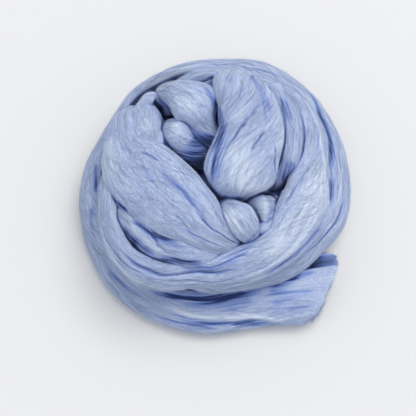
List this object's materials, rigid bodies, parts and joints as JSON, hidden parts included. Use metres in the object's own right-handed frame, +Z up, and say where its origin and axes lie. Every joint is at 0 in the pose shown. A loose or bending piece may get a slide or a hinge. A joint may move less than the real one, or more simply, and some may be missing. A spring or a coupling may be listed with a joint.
{
  "type": "nest of wool roving",
  "caption": "Soft hand-wound nest of combed wool roving in periwinkle blue, its bands crossing over the crown and one loose end lying along its front.",
  "frame": {"origin": "on the floor, at the flat spot under the middle of the nest", "axes": "+Z up out of the crown, -Y towards the front where the loose end lies, +X to the right where it ends"},
  "size_m": [0.1347, 0.141, 0.0617],
  "materials": {
    "wool": "combed, unspun wool fibre lying parallel in soft bundles, periwinkle blue with paler and darker streaks, a faint silky sheen and loose fibres standing off"
  },
  "bodies": {
    "root": {"wound_nest": "wool", "loose_end": "wool"}
  },
  "joints": []
}
